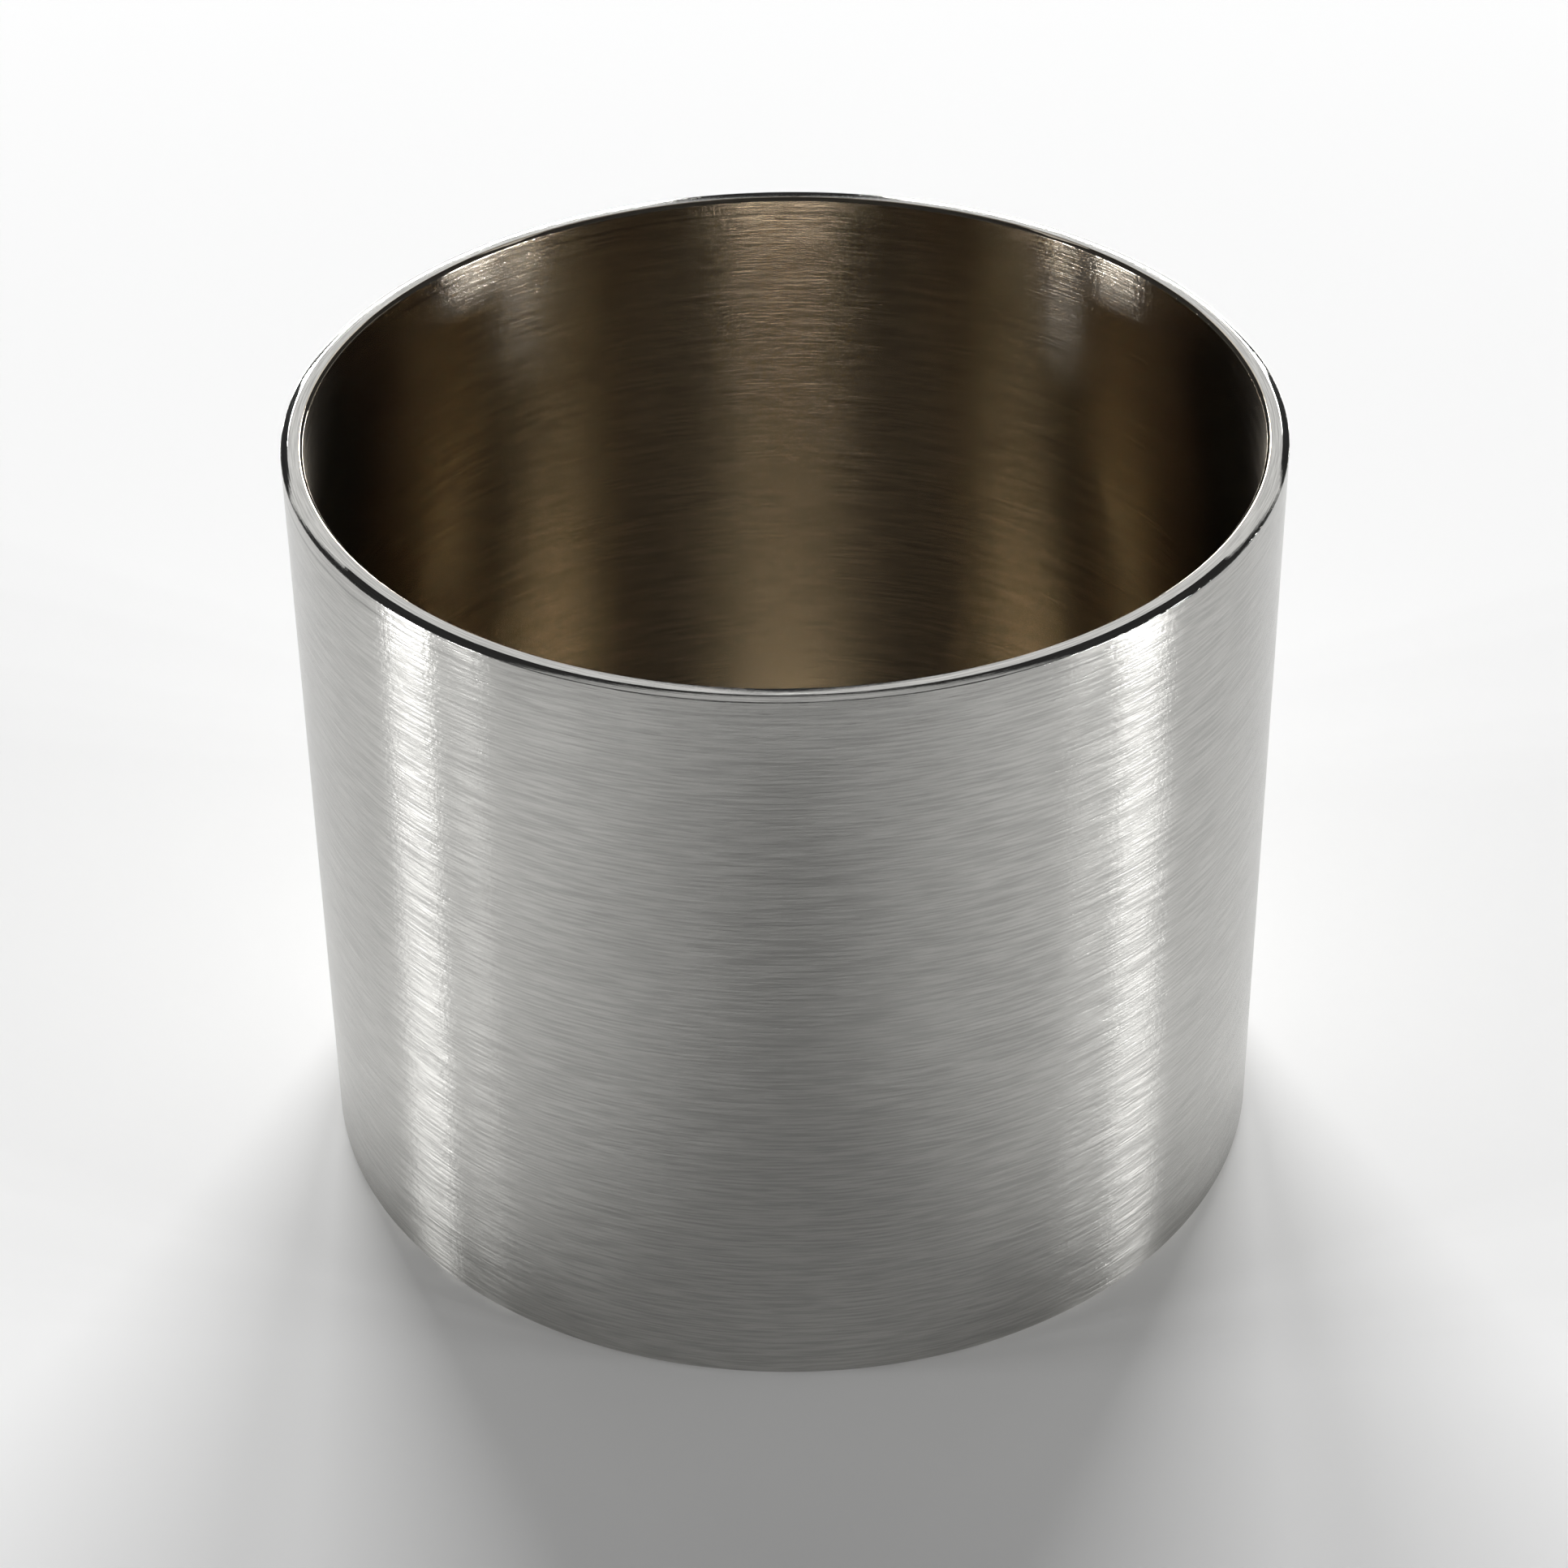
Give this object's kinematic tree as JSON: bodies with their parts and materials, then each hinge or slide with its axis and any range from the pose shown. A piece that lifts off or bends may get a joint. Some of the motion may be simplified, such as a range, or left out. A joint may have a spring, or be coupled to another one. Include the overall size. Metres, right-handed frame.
{
  "type": "deep drawn metal cup",
  "caption": "Round straight-sided metal cup, deep drawn and ironed from sheet, with a flat base, an almost sharp base corner and a trimmed open mouth with broken edges.",
  "frame": {"origin": "centre of the flat base's underside", "axes": "+Z along the cup's axis, towards the open mouth"},
  "size_m": [0.06, 0.06, 0.0495],
  "materials": {
    "cup_steel": "fine brushed round the cup, bare metal"
  },
  "bodies": {
    "root": {"cup": "cup_steel"}
  },
  "joints": []
}
